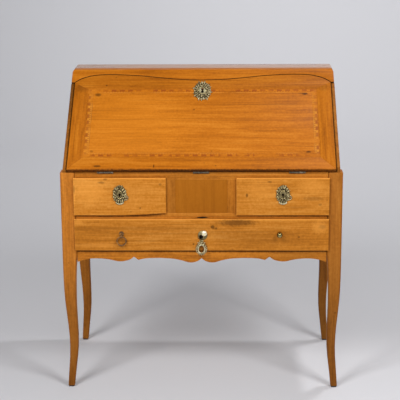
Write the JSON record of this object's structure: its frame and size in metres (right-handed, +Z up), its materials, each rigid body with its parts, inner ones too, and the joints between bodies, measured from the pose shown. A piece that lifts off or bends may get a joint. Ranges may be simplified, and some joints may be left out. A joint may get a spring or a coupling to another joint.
{
  "type": "slant-front writing desk",
  "caption": "Slant-front fruitwood writing desk on cabriole legs: hinged fall with serpentine crest, proud lipped drawers, scalloped apron and rocaille brass.",
  "frame": {"origin": "on the floor under the middle of the overall box", "axes": "+Z up, -Y towards the writer (front), +X to the right seen from the front"},
  "size_m": [0.885, 0.4902, 0.99],
  "materials": {
    "case_wood": "waxed fruitwood, honey brown, darker towards the feet",
    "fall_wood": "waxed fruitwood, orange honey, grain along the width",
    "inlay_wood": "banding of light and reddish blocks",
    "drawer_wood": "waxed fruitwood, a little lighter than the case",
    "inner_wood": "unfinished secondary wood, dusty brown",
    "fitment_wood": "thinly waxed fruitwood",
    "old_brass": "cast rocaille brass with grey green patina",
    "bright_brass": "polished brass",
    "dark_brass": "brown tarnished brass",
    "iron": "dark forged iron"
  },
  "bodies": {
    "case": {"front_leg_left": "case_wood", "front_leg_right": "case_wood", "rear_leg_left": "case_wood", "rear_leg_right": "case_wood", "foot_pads": "iron", "side_panel_left": "case_wood", "side_panel_right": "case_wood", "top_board": "case_wood", "frieze_rail": "case_wood", "back_boards": "inner_wood", "top_rail": "case_wood", "middle_rail": "case_wood", "apron_rail": "case_wood", "drawer_stiles": "case_wood", "centre_panel": "case_wood", "writing_bed": "fitment_wood", "drawer_partitions": "inner_wood", "short_drawer_runners": "inner_wood", "long_drawer_runners": "inner_wood", "gradin_uprights": "fitment_wood", "gradin_shelves": "fitment_wood", "hinge_leaves_bed": "iron", "hinge_pins": "iron"},
    "fall": {"fall_panel": "fall_wood", "fall_border": "fall_wood", "fall_inlay": "inlay_wood", "hinge_leaves_fall": "iron", "fall_escutcheon": "old_brass", "fall_lock": "iron"},
    "fall_bolt": {"fall_bolt": "iron"},
    "left_drawer": {"left_drawer_front": "drawer_wood", "left_drawer_box": "inner_wood", "left_drawer_bottom": "inner_wood", "left_drawer_lock": "iron", "left_drawer_escutcheon": "old_brass"},
    "left_bolt": {"left_drawer_bolt": "iron"},
    "right_drawer": {"right_drawer_front": "drawer_wood", "right_drawer_box": "inner_wood", "right_drawer_bottom": "inner_wood", "right_drawer_lock": "iron", "right_drawer_escutcheon": "old_brass"},
    "right_bolt": {"right_drawer_bolt": "iron"},
    "long_drawer": {"long_drawer_front": "drawer_wood", "long_drawer_box": "inner_wood", "long_drawer_bottom": "inner_wood", "long_drawer_lock": "iron", "lock_rosette": "bright_brass", "drop_staple": "old_brass", "pull_knob": "bright_brass", "ring_post": "dark_brass"},
    "long_bolt": {"long_drawer_bolt": "iron"},
    "ring": {"ring_pull": "dark_brass"},
    "drop": {"drop_pull": "old_brass"},
    "small_drawer_left": {"small_drawer_left_front": "fitment_wood", "small_drawer_left_tray": "inner_wood", "small_drawer_left_knob": "bright_brass"},
    "small_drawer_right": {"small_drawer_right_front": "fitment_wood", "small_drawer_right_tray": "inner_wood", "small_drawer_right_knob": "bright_brass"}
  },
  "joints": [
    {"name": "fall_hinge", "type": "hinge", "parent": "case", "child": "fall", "pos_m": [0, -0.21535, 0.72], "axis": [1, 0, 0], "range_deg": [0, 143.46]},
    {"name": "left_drawer_slide", "type": "slide", "parent": "case", "child": "left_drawer", "axis": [0, -1, 0], "range_m": [0, 0.28]},
    {"name": "right_drawer_slide", "type": "slide", "parent": "case", "child": "right_drawer", "axis": [0, -1, 0], "range_m": [0, 0.28]},
    {"name": "long_drawer_slide", "type": "slide", "parent": "case", "child": "long_drawer", "axis": [0, -1, 0], "range_m": [0, 0.3]},
    {"name": "small_drawer_left_slide", "type": "slide", "parent": "case", "child": "small_drawer_left", "axis": [0, -1, 0], "range_m": [0, 0.13]},
    {"name": "small_drawer_right_slide", "type": "slide", "parent": "case", "child": "small_drawer_right", "axis": [0, -1, 0], "range_m": [0, 0.13]},
    {"name": "ring_swing", "type": "hinge", "parent": "long_drawer", "child": "ring", "pos_m": [-0.252, -0.23015, 0.51573], "axis": [-1, 0, 0], "range_deg": [0, 90]},
    {"name": "drop_swing", "type": "hinge", "parent": "long_drawer", "child": "drop", "pos_m": [0, -0.22815, 0.4972], "axis": [-1, 0, 0], "range_deg": [0, 80]},
    {"name": "fall_bolt_slide", "type": "slide", "parent": "fall", "child": "fall_bolt", "axis": [0, 0.8035, 0.5954], "range_m": [0, 0.008]},
    {"name": "left_bolt_slide", "type": "slide", "parent": "left_drawer", "child": "left_bolt", "axis": [0, 0, 1], "range_m": [0, 0.006]},
    {"name": "right_bolt_slide", "type": "slide", "parent": "right_drawer", "child": "right_bolt", "axis": [0, 0, 1], "range_m": [0, 0.006]},
    {"name": "long_bolt_slide", "type": "slide", "parent": "long_drawer", "child": "long_bolt", "axis": [0, 0, 1], "range_m": [0, 0.006]}
  ]
}
